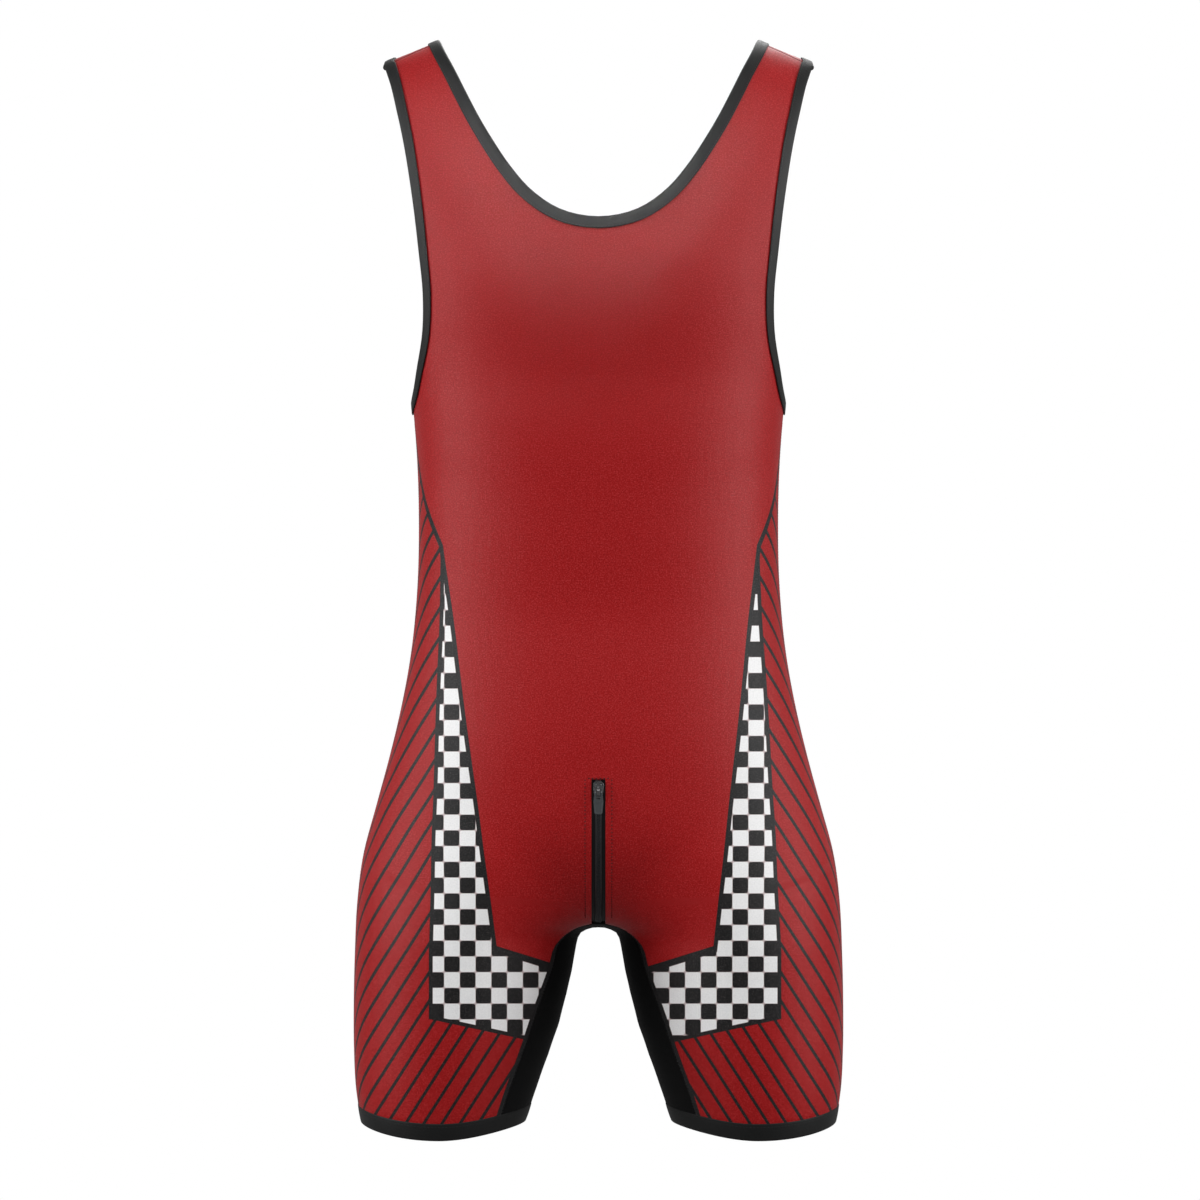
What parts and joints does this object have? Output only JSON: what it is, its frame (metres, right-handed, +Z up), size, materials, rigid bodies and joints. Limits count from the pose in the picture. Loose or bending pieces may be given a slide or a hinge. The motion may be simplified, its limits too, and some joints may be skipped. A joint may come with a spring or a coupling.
{
  "type": "wrestling singlet",
  "caption": "Worn one-piece singlet: open scoop neck, wide shoulder straps, deep armholes, short fitted legs with inner gusset, bound edges and a closed fly zip.",
  "frame": {"origin": "midway between the undersides of the two shoulder straps, where the wearer's shoulders carry the garment", "axes": "+Z up, -Y out of the front, +X towards the wearer's left"},
  "size_m": [0.3914, 0.2324, 0.8683],
  "materials": {
    "red_cloth": "smooth stretch knit with a soft sheen",
    "black_cloth": "smooth stretch knit",
    "black_elastic": "matte elastic tape",
    "zip_tape": "woven tape",
    "zip_coil": "nylon coil",
    "zip_metal": "dark plated zinc",
    "zip_pull_metal": "matte dark paint"
  },
  "bodies": {
    "garment": {"front_panel": "red_cloth", "back_panel": "red_cloth", "inner_leg_gusset": "black_cloth", "leg_band_left": "black_elastic", "leg_band_right": "black_elastic", "neck_binding": "black_elastic", "armhole_binding_left": "black_elastic", "armhole_binding_right": "black_elastic", "zip_tape_left": "zip_tape", "zip_tape_right": "zip_tape", "zip_chain": "zip_coil", "zip_slider": "zip_metal"},
    "pull": {"zip_pull": "zip_pull_metal"}
  },
  "joints": [
    {"name": "pull_swing", "type": "hinge", "parent": "garment", "child": "pull", "pos_m": [0, -0.10667, -0.58558], "axis": [-1, 0, 0], "range_deg": [0, 165]}
  ]
}
